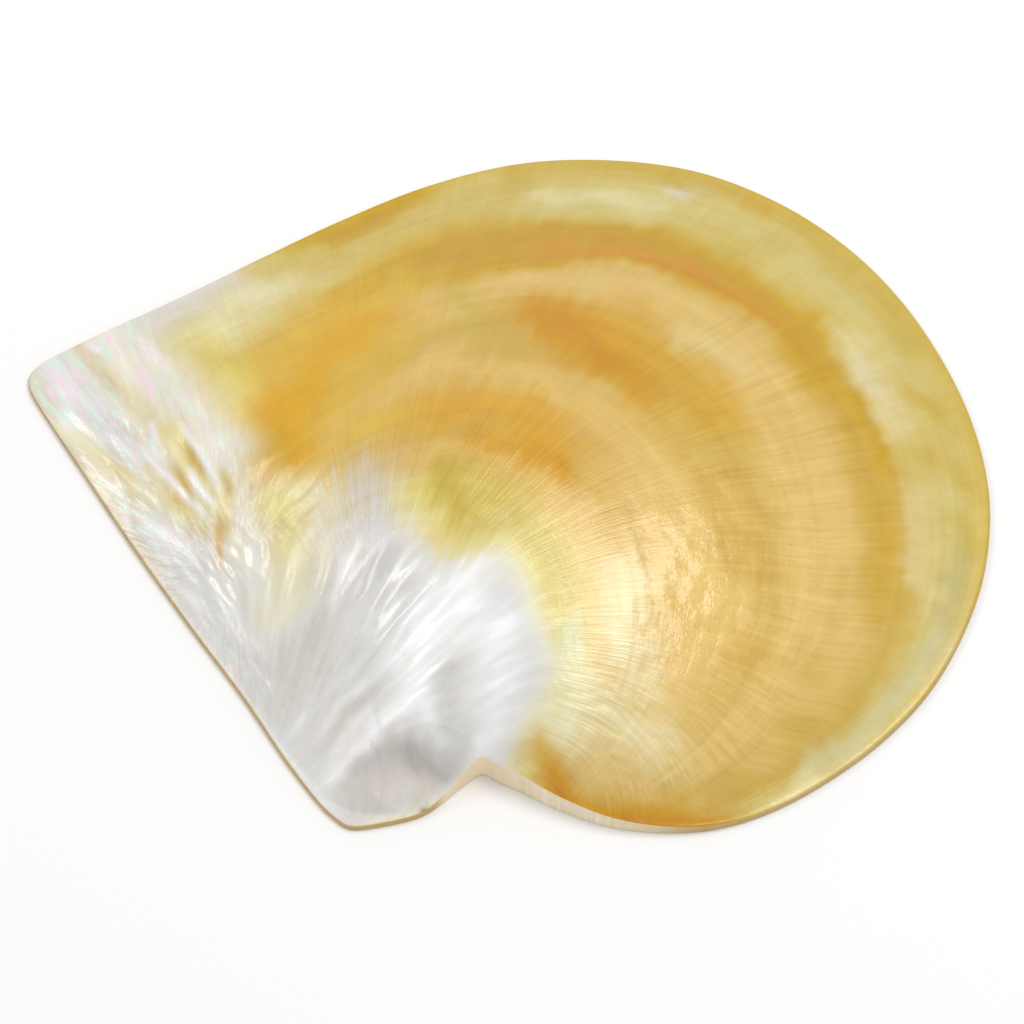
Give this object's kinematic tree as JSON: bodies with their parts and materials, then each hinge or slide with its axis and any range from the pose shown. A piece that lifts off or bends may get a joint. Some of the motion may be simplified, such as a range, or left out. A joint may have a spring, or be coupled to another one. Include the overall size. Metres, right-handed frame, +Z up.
{
  "type": "mother of pearl shell",
  "caption": "Polished pearl oyster valve lying convex side up: straight hinge, round margin, byssal notch and small ear, thin wall, hollow underneath, resting on its flat ground rim",
  "frame": {"origin": "on the resting plane, under the middle of the valve's box", "axes": "+X along the hinge from the posterior corner to the anterior corner, +Y from the hinge to the ventral margin, +Z up, out of the convex outside"},
  "size_m": [0.168, 0.165, 0.026],
  "materials": {
    "nacre": "polished nacre, silver-white at the beak and gold towards the margin, with a soft pearly sheen"
  },
  "bodies": {
    "root": {"shell": "nacre"}
  },
  "joints": []
}
